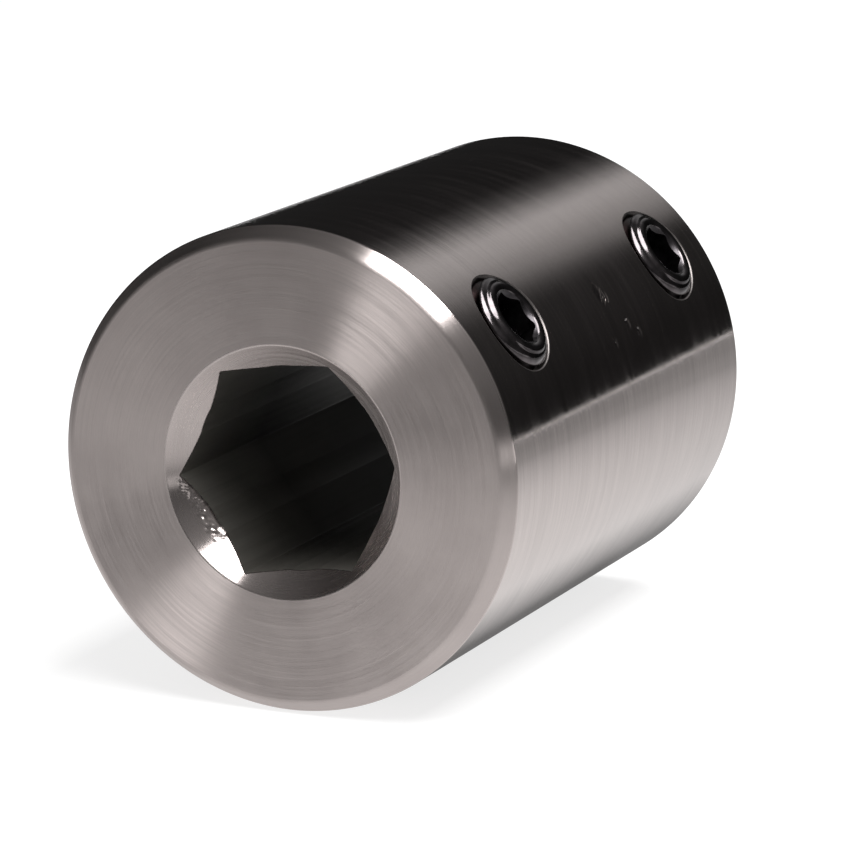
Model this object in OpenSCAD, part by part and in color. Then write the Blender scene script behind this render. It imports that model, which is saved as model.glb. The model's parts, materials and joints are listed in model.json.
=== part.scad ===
// Rigid one-piece sleeve coupling for 5/8 inch hexagonal shafts, with two set screws.
//
// The coupling axis lies along Y, the marked front face looks along -Y and +Z is up.
// The origin is on the bore axis, halfway along the sleeve. All sizes are in millimetres.

/* [Sleeve] */
// Outside diameter of the sleeve (1 1/2 inch)
sleeve_dia = 38.1; // [34:0.1:60]
// Length of the sleeve from end face to end face (2 inch)
sleeve_length = 50.8; // [44:0.1:120]
// Length of the chamfer round each end, measured along the axis
rim_chamfer_length = 1.2; // [0.2:0.05:2.5]
// Depth of the chamfer round each end, measured along the radius
rim_chamfer_depth = 0.9; // [0.2:0.05:2.5]

/* [Hexagonal bore] */
// Width of the bore across its flats (5/8 inch shaft plus clearance)
bore_across_flats = 15.9; // [10:0.05:18]
// How much wider the drilled pilot hole is than the bore is across its flats
pilot_oversize = 0.15; // [0.05:0.05:0.6]
// How much wider the 90 degree countersink at each end is than the bore is across its corners
countersink_margin = 1.5; // [0.4:0.1:4]

/* [Set screws] */
// Angle of the set screw row, from +X towards +Z
screw_angle = 37; // [0:1:90]
// Distance from each end face to the axis of its set screw
screw_inset = 9.525; // [8:0.025:15]
// Largest diameter of the screw thread (5/16 inch)
thread_dia = 7.94; // [6.6:0.02:9]
// Distance from one thread crest to the next (24 threads to the inch)
thread_pitch = 1.058; // [0.9:0.002:1.4]
// Length of a set screw from its cup point to its socket end
screw_length = 7.94; // [6:0.02:9.6]
// How far each set screw stands out of the sleeve, measured along the screw
screw_proud = 0.55; // [-1:0.05:1.5]
// Width of the hexagonal key socket across its flats (5/32 inch)
key_across_flats = 3.97; // [2.4:0.01:4]
// Depth of the key socket, measured along its flats
key_depth = 3.6; // [2:0.1:3.8]
// How much wider the countersunk mouth of each tapped hole is than the screw thread
mouth_margin = 1.16; // [0.7:0.02:1.6]

/* [Hidden] */

$fn = 96;
eps = 0.01;

sleeve_r = sleeve_dia / 2;
half_length = sleeve_length / 2;

// A hexagon drawn as a six-sided circle is sized across its corners.
function across_corners(across_flats) = across_flats / cos(30);

bore_flat_r = bore_across_flats / 2;
bore_corner_dia = across_corners(bore_across_flats);
pilot_dia = bore_across_flats + pilot_oversize;
countersink_r = (bore_corner_dia + countersink_margin) / 2;

// One flat of the bore squarely faces the set screws.
bore_clocking = screw_angle - 30;

// 60 degree thread on the screw: flat crests and roots, with straight flanks between them.
screw_crest_r = thread_dia / 2;
screw_thread_depth = 0.6134 * thread_pitch;

// The hole's thread starts just outside the screw's, so that the screw can slide freely.
slide_clearance = 0.03;
hole_crest_r = screw_crest_r + slide_clearance;
hole_groove_r = hole_crest_r + 0.25 * thread_pitch;
mouth_r = (thread_dia + mouth_margin) / 2;
mouth_slope = tan(30);

// Cup point, whose rim presses on the shaft when the screw is tightened.
cup_rim_r = 0.6 * screw_crest_r;
cup_depth = 0.9;
cup_core_r = 0.35;

// Drill point below the floor of the key socket.
key_drill_depth = 0.8;

// Thread rings that fit between the bore and the outside of the sleeve.
hole_thread_count = ceil((sleeve_r - bore_flat_r) / thread_pitch) + 1;

// Round bar with a chamfer at each end.
module sleeve_blank() {
    rotate([90, 0, 0])
        rotate_extrude()
            polygon([
                [0, -half_length],
                [sleeve_r - rim_chamfer_depth, -half_length],
                [sleeve_r, -half_length + rim_chamfer_length],
                [sleeve_r, half_length - rim_chamfer_length],
                [sleeve_r - rim_chamfer_depth, half_length],
                [0, half_length]
            ]);
}

// Broached hexagon, the wider pilot hole that it was cut from, and a countersink at each end.
module hex_bore() {
    rotate([90, 0, 0]) {
        rotate([0, 0, bore_clocking])
            cylinder(d = bore_corner_dia, h = sleeve_length + 2, center = true, $fn = 6);
        cylinder(d = pilot_dia, h = sleeve_length + 2, center = true);
        for (side = [0, 1])
            mirror([0, 0, side])
                translate([0, 0, half_length - countersink_r])
                    cylinder(r1 = 0, r2 = countersink_r + eps, h = countersink_r + eps);
    }
}

// Stands its children on the coupling axis, pointing out along a set screw.
// side is -1 for the front screw and 1 for the rear one.
module at_screw(side) {
    translate([0, side * (half_length - screw_inset), 0])
        rotate([0, 90 - screw_angle, 0])
            children();
}

// Points down one side of a row of thread grooves: radius first, then height.
// The crests lie at crest_r and the grooves reach root_r, from height z0 upwards.
function thread_points(crest_r, root_r, z0, count) = [
    for (turn = [0 : count - 1])
        let (
            z = z0 + turn * thread_pitch,
            flank = abs(root_r - crest_r) * tan(30),
            root_flat = thread_pitch / 8
        )
            each [
                [crest_r, z],
                [root_r, z + flank],
                [root_r, z + flank + root_flat],
                [crest_r, z + 2 * flank + root_flat]
            ]
];

// Tapped hole through the wall on one side, with its countersunk mouth.
module tapped_hole(side) {
    thread_start = bore_flat_r - thread_pitch / 2;
    thread_top = thread_start + hole_thread_count * thread_pitch;
    mouth_cone_height = mouth_r / mouth_slope;
    at_screw(side) {
        rotate_extrude()
            polygon(concat(
                [[0, 0], [hole_crest_r, 0]],
                thread_points(hole_crest_r, hole_groove_r, thread_start, hole_thread_count),
                [[hole_crest_r, thread_top + 1], [0, thread_top + 1]]
            ));
        translate([0, 0, sleeve_r - mouth_cone_height])
            cylinder(r1 = 0, r2 = mouth_r + mouth_slope, h = mouth_cone_height + 1);
    }
}

module sleeve() {
    color([0.66, 0.65, 0.64])
        difference() {
            sleeve_blank();
            hex_bore();
            tapped_hole(-1);
            tapped_hole(1);
        }
}

// Headless set screw with a cup point at z = 0 and a key socket in its top.
module set_screw() {
    point_chamfer = screw_crest_r - cup_rim_r;
    top_chamfer = 0.9 * screw_thread_depth;
    thread_from = point_chamfer + thread_pitch / 8;
    thread_room = screw_length - top_chamfer - thread_from;
    thread_count = floor(thread_room / thread_pitch);
    socket_floor = screw_length - key_depth;
    key_corner_r = across_corners(key_across_flats) / 2;
    difference() {
        rotate_extrude()
            polygon(concat(
                [[0, cup_depth], [cup_core_r, cup_depth], [cup_rim_r, 0], [screw_crest_r, point_chamfer]],
                thread_points(screw_crest_r, screw_crest_r - screw_thread_depth, thread_from, thread_count),
                [
                    [screw_crest_r, screw_length - top_chamfer],
                    [screw_crest_r - top_chamfer, screw_length],
                    [0, screw_length]
                ]
            ));
        translate([0, 0, socket_floor])
            cylinder(r = key_corner_r, h = key_depth + 1, $fn = 6);
        translate([0, 0, socket_floor - key_drill_depth])
            cylinder(r1 = 0, r2 = key_across_flats / 2, h = key_drill_depth + eps);
        translate([0, 0, screw_length - key_corner_r])
            cylinder(r1 = 0, r2 = 2 * key_corner_r, h = 2 * key_corner_r);
    }
}

module placed_set_screw(side) {
    color([0.13, 0.13, 0.14])
        at_screw(side)
            translate([0, 0, sleeve_r + screw_proud - screw_length])
                set_screw();
}

module front_set_screw() {
    placed_set_screw(-1);
}

module rear_set_screw() {
    placed_set_screw(1);
}

sleeve();
front_set_screw();
rear_set_screw();
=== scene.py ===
"""Looks for the rigid sleeve coupling: turned steel sleeve, two black set screws, studio."""

import json
import math

import bpy
import numpy as np
from mathutils import Matrix, Vector

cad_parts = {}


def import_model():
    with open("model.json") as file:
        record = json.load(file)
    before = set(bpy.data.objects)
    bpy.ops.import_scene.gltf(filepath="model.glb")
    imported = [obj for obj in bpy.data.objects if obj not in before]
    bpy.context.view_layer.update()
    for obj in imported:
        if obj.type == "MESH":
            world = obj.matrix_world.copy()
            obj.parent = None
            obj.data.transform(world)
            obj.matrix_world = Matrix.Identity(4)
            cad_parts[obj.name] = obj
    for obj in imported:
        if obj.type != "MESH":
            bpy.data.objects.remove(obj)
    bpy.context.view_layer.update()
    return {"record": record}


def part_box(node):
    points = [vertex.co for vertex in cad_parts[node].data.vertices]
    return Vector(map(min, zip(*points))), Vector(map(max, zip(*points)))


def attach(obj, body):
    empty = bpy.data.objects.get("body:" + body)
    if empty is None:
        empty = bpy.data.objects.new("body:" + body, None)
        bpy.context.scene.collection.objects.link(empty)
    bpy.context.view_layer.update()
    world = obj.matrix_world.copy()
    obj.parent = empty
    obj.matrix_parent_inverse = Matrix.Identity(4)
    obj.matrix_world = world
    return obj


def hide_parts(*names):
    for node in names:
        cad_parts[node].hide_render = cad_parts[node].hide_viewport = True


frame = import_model()
sleeve_low, sleeve_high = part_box("sleeve")
screw_low, screw_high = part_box("front_set_screw")
screw_axis = frame["record"]["behaviour"]["joints"][0]["axis"]
RADIUS = sleeve_high.x


# ---------------------------------------------------------------- node helpers
class Nodes:
    """Short forms for building a node tree."""

    def __init__(self, tree):
        self.tree = tree
        self.nodes = tree.nodes
        self.nodes.clear()

    def add(self, kind, ins=None, **props):
        n = self.nodes.new(kind)
        for key, value in props.items():
            setattr(n, key, value)
        for key, value in (ins or {}).items():
            self.plug(n.inputs[key], value)
        return n

    def plug(self, socket, value):
        if isinstance(value, bpy.types.NodeSocket):
            self.tree.links.new(value, socket)
        elif isinstance(value, bpy.types.Node):
            self.tree.links.new(value.outputs[0], socket)
        else:
            socket.default_value = value

    def math(self, op, a, b=0.0):
        return self.add("ShaderNodeMath", {0: a, 1: b}, operation=op).outputs[0]

    def times(self, a, b):
        return self.math("MULTIPLY", a, b)

    def plus(self, a, b):
        return self.math("ADD", a, b)

    def vec(self, op, a, b=(0, 0, 0)):
        n = self.add("ShaderNodeVectorMath", {0: a, 1: b}, operation=op)
        return n.outputs["Value"] if op in ("DOT_PRODUCT", "LENGTH") else n.outputs[0]

    def xyz(self, x, y, z):
        return self.add("ShaderNodeCombineXYZ", {0: x, 1: y, 2: z}).outputs[0]

    def split(self, v):
        return self.add("ShaderNodeSeparateXYZ", {0: v}).outputs

    def noise(self, v, scale, detail=2.0, rough=0.5):
        ins = {"Vector": v, "Scale": scale, "Detail": detail, "Roughness": rough}
        return self.add("ShaderNodeTexNoise", ins).outputs[0]

    def ramp(self, value, stops):
        n = self.add("ShaderNodeValToRGB", {0: value})
        elements = n.color_ramp.elements
        while len(elements) < len(stops):
            elements.new(0.5)
        for element, (position, colour) in zip(elements, stops):
            element.position = position
            element.color = (*colour, 1.0)
        return n.outputs[0]

    def levels(self, value, stops):
        """A ramp of plain numbers."""
        colour = self.ramp(value, [(p, (v,) * 3) for p, v in stops])
        return self.add("ShaderNodeSeparateColor", {0: colour}).outputs[0]

    def map(self, value, a, b, lo=0.0, hi=1.0):
        return self.add("ShaderNodeMapRange", {0: value, 1: a, 2: b, 3: lo, 4: hi}).outputs[0]

    def mix(self, fac, a, b):
        """A mix of two numbers."""
        return self.add("ShaderNodeMix", {0: fac, 2: a, 3: b}, data_type="FLOAT").outputs[0]

    def mix_colours(self, fac, a, b):
        return self.add("ShaderNodeMix", {0: fac, 6: a, 7: b}, data_type="RGBA").outputs[2]


def material(name):
    m = bpy.data.materials.new(name)
    m.use_nodes = True
    return m, Nodes(m.node_tree)


# ---------------------------------------------------------------- materials
WARM = (0.62, 0.555, 0.535)
# the end faces' colour: the same steel made lighter, painted light
PAINTED_LIGHT_WARM = tuple(1.14 * c for c in WARM)
# how patches of the steel differ: their colour, and their roughness either way
TINT = (0.93, 0.925, 0.93)
BLOTCH = 0.06
# the face's middle radius, where its marks have their stated length
FACE_MIDDLE = 0.014
# how far in from the ends the painted shade darkens the bore's colour
BORE_SHADE_REACH = 0.015
ROUND, FACING, BORED = "marks round Y", "marks round Y on an end face", "marks along Y"


def steel(name, colour, rough, across, along, depth, anisotropic=1.0, way=ROUND, streak=0.25, tone=0.11,
          nicks=(), painted_bore_shade=None, metallic=1.0):
    """Cut steel: fine tool marks, with roughness and colour that vary along and across them.

    across and along are the size of the marks in metres, depth their height, and way how they run.
    streak is how much the marks change the roughness, and tone how much they change the colour.
    painted_bore_shade is what is left of the colour away from the ends: painted shade, darker far inside a
    bore.
    """
    m, t = material(name)
    p = t.add("ShaderNodeTexCoord").outputs["Object"]
    x, y, z = t.split(p)
    if way == FACING:
        radial = t.math("SQRT", t.plus(t.times(x, x), t.times(z, z)))
        c, s = t.math("DIVIDE", x, radial), t.math("DIVIDE", z, radial)
        turn = FACE_MIDDLE / along
        grain = t.xyz(t.times(c, turn), t.times(radial, 1 / across), t.times(s, turn))
    else:
        flat, axial = (along, across) if way == ROUND else (across, along)
        grain = t.xyz(t.times(x, 1 / flat), t.times(y, 1 / axial), t.times(z, 1 / flat))
    fine = t.noise(grain, 1.0, 4.0, 0.65)
    coarse = t.noise(grain, 0.23, 3.0, 0.6)
    patches = t.noise(p, 260.0, 4.0, 0.6)
    broad, spread = (0.15, 0.14) if way == FACING else (0.4, 0.2)
    marks = t.plus(t.times(fine, 1 - broad), t.times(coarse, broad))
    streaks = t.map(marks, 0.5 - spread, 0.5 + spread, rough - streak * rough, rough + streak * rough)
    rough_level = t.plus(streaks, t.map(patches, 0.3, 0.7, -BLOTCH * rough, BLOTCH * rough))
    if way == BORED:
        tangent = t.xyz(0.0, 1.0, 0.0)
    else:
        tangent = t.vec("NORMALIZE", t.vec("CROSS_PRODUCT", (0, 1, 0), p))
    shade = t.map(marks, 0.25, 0.75, 1 - 1.2 * tone, 1 + 0.8 * tone)
    hue = t.mix_colours(patches, (*colour, 1), (*(c * k for c, k in zip(colour, TINT)), 1))
    # painted shade: the colour darkens away from the ends, far inside the bore
    if painted_bore_shade:
        end = sleeve_high.y
        shade = t.times(shade, t.map(t.math("ABSOLUTE", y), end - BORE_SHADE_REACH, end, painted_bore_shade, 1.0))
    hue = t.add("ShaderNodeVectorMath", {0: hue, 3: shade}, operation="SCALE").outputs[0]
    bump = t.add("ShaderNodeBump", {"Strength": 1.0, "Distance": depth, "Height": marks})
    for place, size in nicks:
        gap = t.vec("LENGTH", t.vec("MULTIPLY", t.vec("SUBTRACT", p, place), (1, 1, 0.6)))
        gap = t.plus(gap, t.times(t.noise(p, 2600.0), size * 0.8))
        dent = t.map(gap, size * 0.5, size * 1.3, -1.0, 0.0)
        ins = {"Strength": 1.0, "Distance": size * 0.15, "Height": dent, "Normal": bump}
        bump = t.add("ShaderNodeBump", ins)
    bsdf = t.add("ShaderNodeBsdfPrincipled", {
        "Base Color": hue, "Metallic": metallic, "Roughness": rough_level,
        "Anisotropic": anisotropic, "Anisotropic Rotation": 0.25, "Tangent": tangent, "Normal": bump})
    t.add("ShaderNodeOutputMaterial", {"Surface": bsdf})
    return m


def oxide(name, colour, rough, coat):
    """Black oxide finish: dark, glossy with oil, worn lighter in patches."""
    m, t = material(name)
    p = t.add("ShaderNodeTexCoord").outputs["Object"]
    cloud = t.noise(p, 900.0, 4.0, 0.6)
    fine = t.noise(p, 5000.0, 3.0, 0.6)
    tone = t.ramp(cloud, [(0.35, colour), (0.7, tuple(2.2 * c for c in colour))])
    bump = t.add("ShaderNodeBump", {"Strength": 1.0, "Distance": 0.000004, "Height": fine})
    bsdf = t.add("ShaderNodeBsdfPrincipled", {
        "Base Color": tone, "Metallic": 1.0, "Roughness": t.map(cloud, 0.3, 0.7, rough * 0.8, rough * 1.25),
        "Coat Weight": coat, "Coat Roughness": 0.12, "Normal": bump})
    t.add("ShaderNodeOutputMaterial", {"Surface": bsdf})
    return m


def on_barrel(degrees, along):
    """A place on the barrel: angle from the X axis, and distance along Y in metres."""
    return (RADIUS * math.cos(math.radians(degrees)), along, RADIUS * math.sin(math.radians(degrees)))


# where each small dent is, and its size
NICKS = ((on_barrel(34, 0.0005), 0.00080), (on_barrel(33, 0.0012), 0.00052),
         (on_barrel(25, 0.0030), 0.00050), (on_barrel(22, 0.0046), 0.00044),
         (on_barrel(22, -0.0006), 0.00040), (on_barrel(88, 0.010), 0.00042))

sleeve_materials = [
    steel("turned_barrel", WARM, 0.10, 0.00026, 0.006, 0.0000095, 0.6, streak=0.8, tone=0.15, nicks=NICKS),
    steel("turned_face", PAINTED_LIGHT_WARM, 0.42, 0.00022, 0.009, 0.0000150, way=FACING, streak=0.16, tone=0.16),
    steel("turned_chamfer", WARM, 0.34, 0.00020, 0.012, 0.0000012),
    # the bore's colour darkens inwards from its ends, painted shade
    steel("broached_bore", (0.42, 0.40, 0.36), 0.40, 0.00060, 0.02, 0.000007, 0.7, way=BORED, streak=0.35,
          tone=0.3, painted_bore_shade=0.08, metallic=0.84),
    # a darker copy of the steel: painted shade inside the screw holes and on their lips
    steel("tapped_wall_painted_shade", (0.17, 0.155, 0.15), 0.38, 0.0002, 0.004, 0.000002, 0.4),
    steel("countersink", WARM, 0.26, 0.00022, 0.010, 0.0000015),
]
screw_materials = [
    oxide("black_oxide", (0.065, 0.058, 0.060), 0.14, 0.15),
    # darker copies of the black oxide: painted shade in and round the key socket and on the thread down the
    # hole
    oxide("black_oxide_socket_painted_shade", (0.035, 0.032, 0.034), 0.30, 0.1),
    oxide("black_oxide_thread_painted_shade", (0.010, 0.006, 0.006), 0.30, 0.0),
]


# ---------------------------------------------------------------- shapes, in millimetres
MM = 0.001
SIDES = (-1, 1)
LENGTH = 2 * sleeve_high.y / MM
R = RADIUS / MM
COS_30 = math.cos(math.radians(30))
TAN_30 = math.tan(math.radians(30))
CHAMFER_LENGTH = 1.2
CHAMFER_DEPTH = 0.9
SCREW_ANGLE = math.atan2(screw_axis[2], screw_axis[0])
SCREW_INSET = (sleeve_high.y + (screw_low.y + screw_high.y) / 2) / MM
BORE_FLAT = 7.95
# the round hole drilled before broaching, a little over the flats
PILOT = 8.025
BORE_CORNER = 0.12
COUNTERSINK = BORE_FLAT / COS_30 + 0.75
PITCH = 1.058
SCREW_CREST = 3.97
SCREW_ROOT = SCREW_CREST - 0.6134 * PITCH
HOLE_CREST = 4.0
HOLE_GROOVE = HOLE_CREST + 0.25 * PITCH
# the cone at a screw hole's mouth: its radius level with the top of the barrel, and how fast it widens
MOUTH = 4.55
MOUTH_SLOPE = TAN_30
SCREW_LENGTH = 7.94
SCREW_PROUD = 0.55
KEY_FLAT = 1.985
KEY_CORNER = KEY_FLAT / COS_30
KEY_ROUNDING = 0.10
KEY_DEPTH = 3.6
KEY_DRILL = 0.8
CUP_RIM = 0.6 * SCREW_CREST
CUP_CORE = 0.35
CUP_DEPTH = 0.9
# how far below its top a set screw's thread ends
SHOULDER = 0.95
# the top of a set screw, from its thread in to its key socket: radius, and height from the top
CROWN = ((SCREW_CREST, -SHOULDER), (3.965, -0.75), (3.93, -0.60), (3.83, -0.48), (3.68, -0.385),
         (3.52, -0.325), (3.38, -0.27), (3.27, -0.19), (3.15, -0.09), (3.00, -0.025), (2.82, 0.0),
         (2.62, -0.015), (2.46, -0.06), (2.345, -0.13))
# how far a rounded edge reaches along a 45 degree slope, for each part of its size
DIAGONAL = 0.7

AXIS = np.array([math.cos(SCREW_ANGLE), 0, math.sin(SCREW_ANGLE)])
ACROSS = np.array([-math.sin(SCREW_ANGLE), 0, math.cos(SCREW_ANGLE)])
ALONG = np.array([0.0, 1.0, 0.0])


class Shell:
    """A mesh made of surface patches that carry their own exact normals."""

    def __init__(self):
        self.points, self.normals, self.quads, self.slots = [], [], [], []
        self.count = 0

    def grid(self, points, normals, slot):
        """Adds a patch: rows of points, a normal for each, and a material slot."""
        rows, cols = points.shape[:2]
        flat, flat_n = points.reshape(-1, 3), normals.reshape(-1, 3)
        i = np.arange(rows * cols).reshape(rows, cols)
        quads = np.stack([i[:-1, :-1], i[:-1, 1:], i[1:, 1:], i[1:, :-1]], -1).reshape(-1, 4)
        a, b, c, d = (flat[quads[:, k]] for k in range(4))
        facing = (np.cross(c - a, d - b) * flat_n[quads].sum(1)).sum(1)
        quads[facing < 0] = quads[facing < 0][:, ::-1]
        self.points.append(flat)
        self.normals.append(flat_n / np.linalg.norm(flat_n, axis=1, keepdims=True))
        self.quads.append(quads + self.count)
        self.slots.append(np.full(len(quads), slot))
        self.count += rows * cols

    def build(self, name, materials):
        points = np.concatenate(self.points) * MM
        quads = np.concatenate(self.quads)
        mesh = bpy.data.meshes.new(name)
        mesh.from_pydata(points.tolist(), [], quads.tolist())
        for m in materials:
            mesh.materials.append(m)
        mesh.polygons.foreach_set("material_index", np.concatenate(self.slots))
        mesh.polygons.foreach_set("use_smooth", np.ones(len(quads), bool))
        mesh.normals_split_custom_set_from_vertices(np.concatenate(self.normals).tolist())
        o = bpy.data.objects.new(name, mesh)
        bpy.context.scene.collection.objects.link(o)
        return o


def directions(angles):
    """Unit vectors at these angles."""
    return np.stack([np.cos(angles), np.sin(angles)], -1)


def ring(plane, height):
    """Points from (x, z) pairs and heights along Y."""
    x, z, y = np.broadcast_arrays(plane[..., 0], plane[..., 1], height)
    return np.stack([x, y, z], -1)


def in_hole(side, across, along, out):
    """Points from a screw hole's own coordinates, with side -1 for the front hole and 1 for the rear."""
    y = along + side * (LENGTH / 2 - SCREW_INSET)
    across, y, out = np.broadcast_arrays(across, y, out)
    return across[..., None] * ACROSS + y[..., None] * ALONG + out[..., None] * AXIS


def turned_in_hole(across, along, out):
    """Normals from a screw hole's own coordinates."""
    across, along, out = np.broadcast_arrays(across, along, out)
    return across[..., None] * ACROSS + along[..., None] * ALONG + out[..., None] * AXIS


def corner(before, edge, after, steps=5):
    """A rounded corner: points on a curve that starts and ends along its two sides."""
    t = np.linspace(0, 1, steps).reshape((-1,) + (1,) * np.ndim(edge))
    return (1 - t) ** 2 * before + 2 * t * (1 - t) * edge + t**2 * after


def blend(first, last, steps=5):
    """Unit normals that turn from one to another."""
    t = np.linspace(0, 1, steps).reshape((-1,) + (1,) * np.ndim(first))
    n = (1 - t) * first + t * last
    return n / np.linalg.norm(n, axis=-1, keepdims=True)


def hexagon(flat, corner_radius, turn, relief, steps):
    """Runs of a hexagonal hole's outline: (points, normals that face the middle, number of the side or -1).

    relief is the radius of a round channel that the sides keep along their middles, or None.
    """
    runs = []
    half = (flat - corner_radius) * TAN_30
    cut = math.sqrt(relief**2 - flat**2) if relief else 0.0
    for k in range(6):
        a = turn + k * math.pi / 3
        out, side = directions(a), directions(a + math.pi / 2)
        spans = [(-half, -cut), (cut, half)] if relief else [(-half, half)]
        for s0, s1 in spans:
            s = np.linspace(s0, s1, steps)[:, None]
            runs.append((flat * out + s * side, np.repeat(-out[None], steps, 0), k))
        if relief:
            w = math.asin(cut / relief)
            d = directions(np.linspace(a - w, a + w, 9))
            runs.append((relief * d, -d, k))
        d = directions(np.linspace(a, a + math.pi / 3, 7))
        centre = (flat - corner_radius) / COS_30 * directions(a + math.pi / 6)
        runs.append((centre + corner_radius * d, -d, -1))
    return runs


def lathe(profile, normals, angles):
    """Rows from (radius, height) pairs turned about Y."""
    d = directions(angles)
    p = ring(profile[:, None, :1] * d[None], profile[:, None, 1])
    n = ring(normals[:, None, :1] * d[None], normals[:, None, 1])
    return p, n


def ragged(x, seed):
    """A small uneven wander, the same on every run."""
    total = np.zeros_like(x)
    rng = np.random.default_rng(seed)
    for k in range(1, 9):
        total += np.sin(x * k * 2.3 + rng.uniform(0, 6.28)) * rng.uniform(0.3, 1.0) / k**0.5
    return total / 3.0


def thread_radius(angle, z, crest, groove):
    """Radius of a right-hand helical thread with softened 60 degree flanks."""
    flank = abs(groove - crest) * TAN_30
    place = (z / PITCH - angle / (2 * math.pi)) % 1.0 * PITCH
    away = np.abs(place - PITCH / 2)
    k = np.clip((away - PITCH / 16) / flank, 0, 1)
    k = 0.55 * k + 0.45 * k * k * (3 - 2 * k)
    return groove + (crest - groove) * k


def turned_wall(radius, angle, z, outward):
    """Normals of a wall r(angle, z), by small steps."""
    e = 1e-3
    r = radius(angle, z)
    da = (radius(angle + e, z) - radius(angle - e, z)) / (2 * e) / r
    dz = (radius(angle, z + e) - radius(angle, z - e)) / (2 * e)
    c, s = np.cos(angle), np.sin(angle)
    return r, (c + da * s) * outward, (s - da * c) * outward, -dz * outward


# ---------------------------------------------------------------- sleeve
BARREL, FACE, CHAMFER, BORE, TAPPED, SINK = range(6)
# how far the edges are rounded, and the face's outer edge more
EASED = 0.10
WORN = 0.28
# the radius where the face passes from plain rings to columns that follow the hexagon
FACE_SPLIT = 15.0
# half the size of the patch of barrel round a screw hole, and of the patch of bore
BARREL_PATCH = (6.6, 6.8)
BORE_PATCH = (4.5, 4.8)
# the edge between countersink and bore: how far it is rounded, and how high its burr stands
LIP = 0.05
BURR = 0.03
# the torn part of the front one: its side of the hexagon, and where it starts and ends in degrees
TORN_SIDE = 3
TORN_SPAN = (187, 229)


def hole_radius(angle, z):
    """The tapped hole: its thread, or the mouth's cone where that is wider."""
    cone = MOUTH + (z - R) * MOUTH_SLOPE
    return np.maximum(thread_radius(angle, z, HOLE_CREST, HOLE_GROOVE), cone)


def mouth_radius(angle):
    """Where the mouth's cone meets the barrel."""
    rho = np.full_like(angle, MOUTH)
    for _ in range(12):
        rho = MOUTH + (np.sqrt(R**2 - (rho * np.cos(angle)) ** 2) - R) * MOUTH_SLOPE
    return rho


def square_ring(half_across, half_along, n_across, n_along):
    """Points round a rectangle, in order, starting at a corner."""
    u = np.linspace(-half_across, half_across, n_across)
    v = np.linspace(-half_along, half_along, n_along)
    full = np.concatenate([
        np.stack([u[:-1], np.full(n_across - 1, -half_along)], 1),
        np.stack([np.full(n_along - 1, half_across), v[:-1]], 1),
        np.stack([u[:0:-1], np.full(n_across - 1, half_along)], 1),
        np.stack([np.full(n_along - 1, -half_across), v[:0:-1]], 1),
    ])
    return np.concatenate([full, full[:1]])


def bore_height(u):
    """Distance out to the bore's flat that faces the screws, pilot relief included."""
    return np.maximum(BORE_FLAT, np.sqrt(np.maximum(PILOT**2 - u**2, 0)))


def screw_hole(shell, side):
    """A tapped hole: the barrel round its mouth, its lip, its threaded wall and the bore round its end."""
    border = square_ring(*BARREL_PATCH, 49, 49)
    angle = np.arctan2(border[:, 1], border[:, 0])
    rho = mouth_radius(angle)
    # the barrel around the mouth
    start = (rho + EASED)[:, None] * directions(angle)
    t = (np.linspace(0, 1, 14) ** 1.5)[:, None, None]
    uv = start[None] * (1 - t) + border[None] * t
    out = np.sqrt(R**2 - uv[..., 0] ** 2)
    shell.grid(in_hole(side, uv[..., 0], uv[..., 1], out), turned_in_hole(uv[..., 0], 0 * out, out), BARREL)
    # the rounded lip, in the tapped wall's darker colour, painted shade
    z_edge = np.sqrt(R**2 - (rho * np.cos(angle)) ** 2)
    z_low = z_edge - EASED * 1.2
    r_low = MOUTH + (z_low - R) * MOUTH_SLOPE
    d = directions(angle)
    lip_a = np.concatenate([start, np.sqrt(R**2 - start[:, :1] ** 2)], 1)
    lip_b = np.concatenate([rho[:, None] * d, z_edge[:, None]], 1)
    lip_c = np.concatenate([r_low[:, None] * d, z_low[:, None]], 1)
    lip = corner(lip_a, lip_b, lip_c, 6)
    n_a = np.stack([start[:, 0], 0 * angle, lip_a[:, 2]], 1) / R
    n_c = np.concatenate([-d, np.full((len(d), 1), MOUTH_SLOPE)], 1)
    n_c /= np.linalg.norm(n_c, axis=1, keepdims=True)
    n = blend(n_a, n_c, 6)
    shell.grid(in_hole(side, lip[..., 0], lip[..., 1], lip[..., 2]),
               turned_in_hole(n[..., 0], n[..., 1], n[..., 2]), TAPPED)
    # the wall, from the lip down to the bore
    z = np.linspace(0, 1, 150)[:, None]
    bottom = bore_height(HOLE_CREST * np.cos(angle))
    z = z_low[None] * (1 - z) + bottom[None] * z
    a = np.broadcast_to(angle[None], z.shape)
    r, nu, nv, nz = turned_wall(hole_radius, a, z, -1)
    shell.grid(in_hole(side, r * np.cos(a), r * np.sin(a), z), turned_in_hole(nu, nv, nz), TAPPED)
    # the bore's flat around the hole
    border = square_ring(*BORE_PATCH, 37, 25)
    angle = np.arctan2(border[:, 1], border[:, 0])
    z = bore_height(HOLE_CREST * np.cos(angle))
    start = hole_radius(angle, z)[:, None] * directions(angle)
    t = np.linspace(0, 1, 6)[:, None, None]
    uv = start[None] * (1 - t) + border[None] * t
    u, v = uv[..., 0], uv[..., 1]
    relief = np.abs(u) < math.sqrt(PILOT**2 - BORE_FLAT**2)
    shell.grid(in_hole(side, u, v, bore_height(u)),
               turned_in_hole(np.where(relief, -u / PILOT, 0), 0 * u, -1 + 0 * u), BORE)


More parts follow.
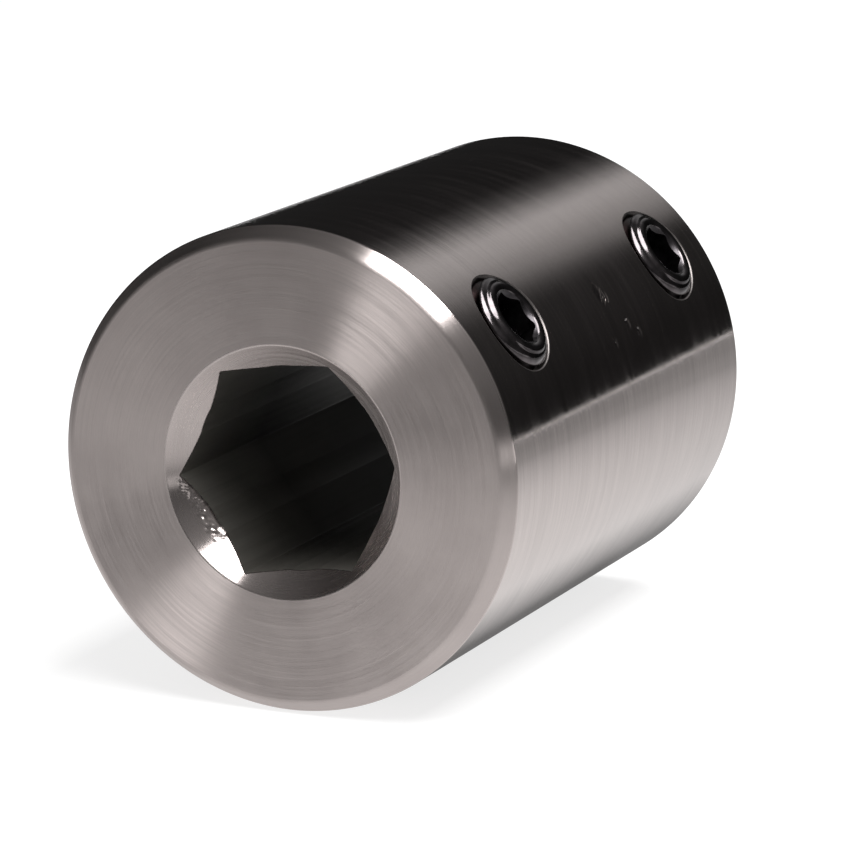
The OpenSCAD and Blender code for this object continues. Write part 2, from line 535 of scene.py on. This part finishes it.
def barrel(shell):
    """The barrel between its rounded ends, without the two patches round the screw holes."""
    turn = math.asin(BARREL_PATCH[0] / R)
    low, high = SCREW_ANGLE - turn, SCREW_ANGLE + turn
    patch = np.linspace(low, high, 37)
    rest = np.linspace(high, low + 2 * math.pi, 241)
    end = LENGTH / 2 - CHAMFER_LENGTH - EASED
    centre = LENGTH / 2 - SCREW_INSET
    outer, inner = centre + BARREL_PATCH[1], centre - BARREL_PATCH[1]
    for y0, y1, hole in ((-end, -outer, 0), (-outer, -inner, 1), (-inner, inner, 0), (inner, outer, 1),
                         (outer, end, 0)):
        y = np.linspace(y0, y1, 9)[:, None]
        for angles in (rest,) if hole else (rest, patch):
            d = directions(angles)
            shell.grid(ring(R * d[None], y), ring(d[None], 0 * y), BARREL)


def end_cap(shell, side):
    """Chamfer, face and countersink of one end, with every edge slightly rounded."""
    half = LENGTH / 2
    # each point is (radius, distance from the middle), each normal likewise
    slope = np.array([CHAMFER_LENGTH, CHAMFER_DEPTH]) / math.hypot(CHAMFER_LENGTH, CHAMFER_DEPTH)
    outwards = np.array([0, 1.0])
    edge_1 = np.array([R, half - CHAMFER_LENGTH])
    edge_2 = np.array([R - CHAMFER_DEPTH, half])
    down = (edge_2 - edge_1) / np.linalg.norm(edge_2 - edge_1)
    round_1 = corner(edge_1 - [0, EASED], edge_1, edge_1 + down * EASED)
    round_2 = corner(edge_2 - down * WORN, edge_2, edge_2 - [WORN, 0], 9)
    angles = np.linspace(0, 2 * math.pi, 361)
    for rows, normals, slot in (
        (round_1, blend(np.array([1.0, 0]), slope), BARREL),
        (np.linspace(round_1[-1], round_2[0], 4), np.repeat(slope[None], 4, 0), CHAMFER),
        (round_2, blend(slope, outwards, 9), CHAMFER),
        (np.linspace(round_2[-1], [FACE_SPLIT, half], 6), np.repeat([outwards], 6, 0), FACE),
    ):
        p, n = lathe(rows * [1, side], normals * [1, side], angles)
        shell.grid(p, n, slot)
    # inner part, column by column along the hexagon
    sink_normal = np.array([-1, 1]) / math.sqrt(2)
    edge_3 = np.array([COUNTERSINK, half])
    round_3 = corner(edge_3 + [EASED, 0], edge_3, edge_3 - np.array([1, 1]) * EASED * DIAGONAL)
    for points, wall, k in hexagon(BORE_FLAT, BORE_CORNER, SCREW_ANGLE, PILOT, 30):
        radius = np.linalg.norm(points, axis=1)
        d = points / radius[:, None]
        angles = np.arctan2(d[:, 1], d[:, 0])
        for rows, normals, slot in (
            (np.linspace([FACE_SPLIT, half], round_3[0], 6), np.repeat([outwards], 6, 0), FACE),
            (round_3, blend(outwards, sink_normal), SINK),
        ):
            p, n = lathe(rows * [1, side], normals * [1, side], angles)
            shell.grid(p, n, slot)
        # the countersink, down to its edge with the bore, which has a small burr and may be torn
        lip = LIP * np.ones_like(radius)
        burr = 0.5 * ragged(angles * 9.0, 5 + side)
        torn = 0 * radius
        if k == TORN_SIDE and side < 0:
            turned = np.degrees(np.mod(angles, 2 * math.pi))
            torn = np.clip((turned - TORN_SPAN[0]) / 4, 0, 1) * np.clip((TORN_SPAN[1] - turned) / 5, 0, 1)
            lip = lip + torn * (0.12 + 0.13 * ragged(angles * 21.0, 3))
            burr = burr * (1 + 2 * torn)
        t = np.linspace(0, 1, 12)[:, None]
        r = round_3[-1][0] * (1 - t) + (radius + lip)[None] * t
        depth = COUNTERSINK - r
        n = ring(-d[None] + 0 * r[..., None], side * np.ones_like(r))
        tear = torn[None] * np.clip((t - 0.55) / 0.2, 0, 1) * 1.5
        sway = ragged(angles[None] * 33.0 + 9 * t, 8) * np.cos(5 * t + 3 * ragged(angles * 15.0, 2)[None])
        sideways = np.stack([-d[:, 1], d[:, 0]], 1)[None] + 0 * r[..., None]
        n = n + (tear * sway * 0.55)[..., None] * ring(sideways, 0 * r)
        n = n + (tear * ragged(angles[None] * 27.0 + 14 * t, 4) * 0.5)[..., None] * ALONG
        shell.grid(ring(r[..., None] * d[None], side * (half - depth)), n, SINK)
        last = ring(r[-1][:, None] * d, side * (half - depth[-1]))
        edge = ring(points, side * (half - (COUNTERSINK - radius)))
        inside = ring(points, side * (half - (COUNTERSINK - radius) - lip * 1.2))
        edge = edge + ring(0 * points, side * BURR * burr)
        wall_n = ring(wall, 0 * radius)
        sink_n = n[-1] / np.linalg.norm(n[-1], axis=1, keepdims=True)
        shell.grid(corner(last, edge, inside), blend(sink_n, wall_n), SINK)
        # the bore's wall, in to the middle; the side with the screw holes leaves room for their patch
        y0 = np.abs(inside[:, 1])
        t = np.linspace(0, 1, 4)[:, None]
        centre = half - SCREW_INSET
        spans = [(y0, 0 * y0)]
        if k == 0:
            spans = [(y0, centre + BORE_PATCH[1] + 0 * y0), (centre - BORE_PATCH[1] + 0 * y0, 0 * y0)]
        for a, b in spans:
            y = side * (a[None] * (1 - t) + b[None] * t)
            shell.grid(ring(points[None], y), np.broadcast_to(wall_n[None], y.shape + (3,)), BORE)


def make_sleeve(materials):
    shell = Shell()
    barrel(shell)
    for side in SIDES:
        screw_hole(shell, side)
        end_cap(shell, side)
    return shell.build("sleeve_turned", materials)


# ---------------------------------------------------------------- set screws
TOP, SOCKET, THREAD = range(3)
SCREW_EASED = 0.05
# the angle in radians by which the thread's start is turned
THREAD_START = 1.34


def screw_radius(angle, z):
    """The screw's thread, cut down by the cone of its point."""
    return np.minimum(thread_radius(angle + THREAD_START, z, SCREW_CREST, SCREW_ROOT), CUP_RIM + z)


def smooth_line(points):
    """A smooth curve through points, and its normals to the left of the way it runs."""
    p = np.array(points)
    p = np.concatenate([2 * p[:1] - p[1:2], p, 2 * p[-1:] - p[-2:-1]])
    t = np.linspace(0, 1, 6, endpoint=False)[:, None]
    rows = []
    for a, b, c, d in zip(p, p[1:], p[2:], p[3:]):
        square, cube = 2 * a - 5 * b + 4 * c - d, 3 * b - a - 3 * c + d
        rows.append(0.5 * (2 * b + (c - a) * t + square * t**2 + cube * t**3))
    line = np.concatenate(rows + [p[-2:-1]])
    way = np.gradient(line, axis=0)
    return line, np.stack([way[:, 1], -way[:, 0]], 1) / np.linalg.norm(way, axis=1, keepdims=True)


def spun(rows, d):
    """Rows from (radius, height) pairs turned about a screw's axis, as its own three coordinates."""
    return rows[:, None, 0] * d[:, 0], rows[:, None, 0] * d[:, 1], rows[:, None, 1] + 0 * d[:, 0]


def make_screw(name, side, materials):
    """A set screw, where it stands at rest in the front hole (side -1) or the rear one (side 1)."""
    shell = Shell()
    base = R + SCREW_PROUD - SCREW_LENGTH

    def add(u, v, z, nu, nv, nz, slot):
        """Adds a patch from the screw's own coordinates, with z up from its point."""
        shell.grid(in_hole(side, u, v, z + base), turned_in_hole(nu, nv, nz), slot)

    angle = np.linspace(0, 2 * math.pi, 145)
    # thread
    z = np.linspace(SCREW_EASED, SCREW_LENGTH - SHOULDER, 150)[:, None]
    a = np.broadcast_to(angle[None], (len(z), len(angle)))
    z = np.broadcast_to(z, a.shape)
    r, nu, nv, nz = turned_wall(screw_radius, a, z, 1)
    add(r * np.cos(a), r * np.sin(a), z, nu, nv, nz, THREAD)
    # the point: its rounded rim, then the cup's cone and flat middle
    edge = np.array([CUP_RIM, 0])
    slope = np.array([CUP_CORE - CUP_RIM, CUP_DEPTH])
    cup = np.array([-CUP_DEPTH, CUP_CORE - CUP_RIM]) / math.hypot(CUP_RIM - CUP_CORE, CUP_DEPTH)
    down = np.array([1, -1]) / math.sqrt(2)
    d = directions(angle)
    for rows, normals in (
        (corner(edge + SCREW_EASED, edge, edge + slope * SCREW_EASED), blend(down, cup)),
        (np.linspace(edge + slope * SCREW_EASED, edge + slope, 4), np.repeat([cup], 4, 0)),
        (np.linspace(edge + slope, [0.0, CUP_DEPTH], 2), np.repeat([[0, -1.0]], 2, 0)),
    ):
        add(*spun(rows, d), *spun(normals, d), TOP)
    # top: the last thread rounds over into a crowned ring round the chamfered hexagonal key socket
    rows, normals = smooth_line(CROWN)
    height = SCREW_LENGTH + rows[:, 1:]
    fade = np.clip(-rows[:, 1:] / SHOULDER, 0, 1) ** 1.5
    thread = thread_radius(angle[None] + THREAD_START, height, SCREW_CREST, SCREW_ROOT)
    crown = rows[:, :1] - fade * (SCREW_CREST - thread)
    add(crown * d[:, 0], crown * d[:, 1], height + 0 * crown, *spun(normals, d), TOP)
    dish = normals[-1]
    slant = (-DIAGONAL, DIAGONAL)
    tilt = math.hypot(KEY_FLAT, KEY_DRILL)
    lean = (-KEY_DRILL / tilt, KEY_FLAT / tilt)
    shelf = SCREW_LENGTH + rows[-1, 1]
    floor_z = SCREW_LENGTH - KEY_DEPTH
    for points, wall, _ in hexagon(KEY_FLAT, KEY_ROUNDING, math.pi / 6, None, 12):
        radius = np.linalg.norm(points, axis=1)
        w = points / radius[:, None]
        one = np.ones_like(radius)

        def strip(start, stop, n_start, n_stop, steps):
            """Rows between two rings of (radius, height), with normals blended across."""
            t = np.linspace(0, 1, steps)[:, None]
            r = start[0] * (1 - t) + stop[0] * t
            z = start[1] * (1 - t) + stop[1] * t
            nr = n_start[0] * (1 - t) + n_stop[0] * t
            nz = n_start[1] * (1 - t) + n_stop[1] * t
            add(r * w[:, 0], r * w[:, 1], z, nr * w[:, 0], nr * w[:, 1], nz + 0 * r, SOCKET)

        # the chamfer round the socket's mouth
        cut = SCREW_EASED * DIAGONAL
        chamfer = ((KEY_CORNER - cut) * one, shelf - cut)
        strip((rows[-1, 0] * one, shelf), chamfer, dish, slant, 4)
        edge_r = np.minimum(radius + SCREW_EASED, KEY_CORNER - cut)
        top = shelf - (KEY_CORNER - edge_r)
        strip(chamfer, (edge_r, top), slant, slant, 3)
        # its rounded edge, and the wall below
        under = top - SCREW_EASED * 1.5
        t = np.linspace(0, 1, 4)[:, None]
        r = edge_r * (1 - t) + radius * t
        nu, nv = (-w[:, i] * DIAGONAL * (1 - t) + wall[:, i] * t for i in range(2))
        add(r * w[:, 0], r * w[:, 1], top * (1 - t) + under * t, nu, nv, DIAGONAL * (1 - t) + 0 * r, SOCKET)
        t = np.linspace(0, 1, 5)[:, None]
        z = under * (1 - t) + floor_z * t
        add(points[:, 0], points[:, 1], z, wall[:, 0], wall[:, 1], 0 * z, SOCKET)
        # the flat floor, and the drill's cone below it
        strip((radius, floor_z), (KEY_FLAT * one, floor_z), (0, 1), (0, 1), 2)
        strip((KEY_FLAT * one, floor_z), (0.02 * one, floor_z - KEY_DRILL * 0.99), lean, lean, 4)
    return shell.build(name, materials)


sleeve_piece = make_sleeve(sleeve_materials)
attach(sleeve_piece, "sleeve")
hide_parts("sleeve")
for name, body, side in (("front_set_screw", "front_screw", -1), ("rear_set_screw", "rear_screw", 1)):
    piece = make_screw(name + "_threaded", side, screw_materials)
    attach(piece, body)
    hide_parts(name)


# ---------------------------------------------------------------- studio
WHITE = (1, 1, 1, 1)
FLOOR_RADIUS = 0.45
FLOOR_SIDES = 96
FLOOR_WHITE = 0.75
# the painted shadow under the part, in the floor's glow: half its width, its two ends, and how far its edge
# fades
PAINTED_SHADOW_HALF = 0.010
PAINTED_SHADOW_ENDS = (-0.016, 0.045)
PAINTED_SHADOW_FADE = 0.0075
# levels of the room: what rough surfaces see, and the low card
ROOM_LEVEL = 0.45
CARD_LEVEL = 0.8
GLOW_PLACE = (0.40, -0.25, 0.88)
KEY_PLACE = (0.215, -0.05, 0.5)
KEY_SIZE = (0.33, 0.6)
KEY_POWER = 6.5


def floor():
    """A pale round table, white to the camera.

    Its glow, which the steel mirrors, is a painted light pool with a painted shadow under the part, and
    fades outwards up to a brighter rim.
    """
    m, t = material("floor_paint")
    camera_ray = t.add("ShaderNodeLightPath").outputs["Is Camera Ray"]
    p = t.add("ShaderNodeTexCoord").outputs["Object"]
    pool = t.levels(t.math("DIVIDE", t.vec("LENGTH", p), FLOOR_RADIUS), [
        (0.0, 0.84), (0.08, 0.76), (0.11, 0.71), (0.142, 0.65), (0.21, 0.50), (0.33, 0.27), (0.50, 0.20),
        (0.87, 0.22), (0.91, 0.55), (0.94, 1.3), (1.0, 1.6)])
    x, y, _ = t.split(p)
    over = t.math("MAXIMUM", t.math("SUBTRACT", t.math("ABSOLUTE", x), PAINTED_SHADOW_HALF), 0.0)
    past = t.math("MAXIMUM", t.math("SUBTRACT", PAINTED_SHADOW_ENDS[0], y), t.math("SUBTRACT", y, PAINTED_SHADOW_ENDS[1]))
    past = t.math("MAXIMUM", past, 0.0)
    outside = t.math("SQRT", t.plus(t.times(over, over), t.times(past, past)))
    # painted shadow: the glow drops to a fifth under the part
    pool = t.times(pool, t.map(outside, 0.0, PAINTED_SHADOW_FADE, 0.2, 1.0))
    paint = t.mix(camera_ray, 0.06, 0.3)
    grey = t.add("ShaderNodeCombineColor", {0: paint, 1: paint, 2: paint})
    diffuse = t.add("ShaderNodeBsdfDiffuse", {"Color": grey})
    glow = t.add("ShaderNodeEmission", {"Color": WHITE, "Strength": t.mix(camera_ray, pool, FLOOR_WHITE)})
    t.add("ShaderNodeOutputMaterial", {"Surface": t.add("ShaderNodeAddShader", {0: diffuse, 1: glow})})

    turns = [2 * math.pi * i / FLOOR_SIDES for i in range(FLOOR_SIDES)]
    outline = [(FLOOR_RADIUS * math.cos(a), FLOOR_RADIUS * math.sin(a), 0) for a in turns]
    mesh = bpy.data.meshes.new("studio_floor")
    mesh.from_pydata(outline, [], [tuple(range(FLOOR_SIDES))])
    mesh.materials.append(m)
    o = bpy.data.objects.new("studio_floor", mesh)
    o.location.z = sleeve_low.z
    bpy.context.scene.collection.objects.link(o)


def world():
    """White behind the part, and a dim room for the steel to mirror.

    The room has a glow round the key light, a tall window at the back and a low card at the right.
    """
    w = bpy.data.worlds.new("studio")
    bpy.context.scene.world = w
    w.use_nodes = True
    t = Nodes(w.node_tree)
    ray = t.add("ShaderNodeLightPath").outputs
    d = t.add("ShaderNodeTexCoord").outputs["Generated"]
    x, y, z = t.split(d)
    halo = t.levels(t.vec("DOT_PRODUCT", d, GLOW_PLACE), [
        (0.0, 0.014), (0.25, 0.035), (0.5, 0.09), (0.7, 0.14), (0.87, 0.24), (1.0, 0.5)])
    panes = t.noise(t.xyz(t.times(x, 6.0), 0.0, t.times(z, 40.0)), 1.0)
    across = t.plus(x, t.map(panes, 0.3, 0.7, -0.04, 0.04))
    window = t.levels(t.map(across, -0.2, 0.4), [
        (0.0, 0.0), (0.058, 0.03), (0.133, 0.08), (0.187, 0.16), (0.25, 0.34), (0.317, 0.47),
        (0.383, 0.47), (0.45, 0.41), (0.517, 0.34), (0.57, 0.27), (0.633, 0.15), (0.688, 0.075),
        (0.767, 0.035), (0.883, 0.0)])
    window = t.times(window, t.times(t.map(z, 0.30, 0.36), t.map(y, 0.6, 0.75)))
    window = t.times(window, t.map(panes, 0.33, 0.67, 0.65, 1.35))
    low_card = t.times(t.map(z, 0.055, 0.075, 1.0, 0.0), t.map(x, 0.75, 0.85))
    room = t.plus(halo, t.plus(window, t.times(low_card, CARD_LEVEL)))
    soft = t.times(ray["Is Diffuse Ray"], ROOM_LEVEL)
    level = t.plus(t.times(ray["Is Glossy Ray"], room), t.plus(soft, ray["Is Camera Ray"]))
    background = t.add("ShaderNodeBackground", {"Color": WHITE, "Strength": level})
    t.add("ShaderNodeOutputWorld", {"Surface": background})


def key_light():
    """One wide soft light overhead, to the right of the part, that points straight down."""
    lamp = bpy.data.lights.new("key", "AREA")
    lamp.shape = "RECTANGLE"
    lamp.size, lamp.size_y = KEY_SIZE
    lamp.energy = KEY_POWER
    o = bpy.data.objects.new("key", lamp)
    o.location = KEY_PLACE
    o.rotation_mode = "QUATERNION"
    o.rotation_quaternion = Vector((0, 0, 1)).to_track_quat("Z", "Y")
    bpy.context.scene.collection.objects.link(o)


floor()
world()
key_light()

# ---------------------------------------------------------------- camera
LENS = 191.06
SENSOR = 36.0
AZIMUTH = math.radians(23.596)
ELEVATION = math.radians(12.309)
DISTANCE = 19.3646 * RADIUS
# how far the lens axis passes the part's middle, to the right and upwards
AIM = (0.000951, -0.001423)


def camera():
    """The photo's long lens, in front, to the right and above."""
    lens = bpy.data.cameras.new("camera")
    lens.lens = LENS
    lens.sensor_width = SENSOR
    lens.clip_start, lens.clip_end = 0.01, 10
    flat = math.cos(ELEVATION)
    back = Vector((math.sin(AZIMUTH) * flat, -math.cos(AZIMUTH) * flat, math.sin(ELEVATION)))
    right = Vector((math.cos(AZIMUTH), math.sin(AZIMUTH), 0))
    up = back.cross(right)
    eye = bpy.data.objects.new("camera", lens)
    eye.location = back * DISTANCE + right * AIM[0] + up * AIM[1]
    eye.rotation_mode = "QUATERNION"
    eye.rotation_quaternion = Matrix((right, up, back)).transposed().to_quaternion()
    bpy.context.scene.collection.objects.link(eye)
    bpy.context.scene.camera = eye


camera()
bpy.context.scene.view_settings.view_transform = "Standard"
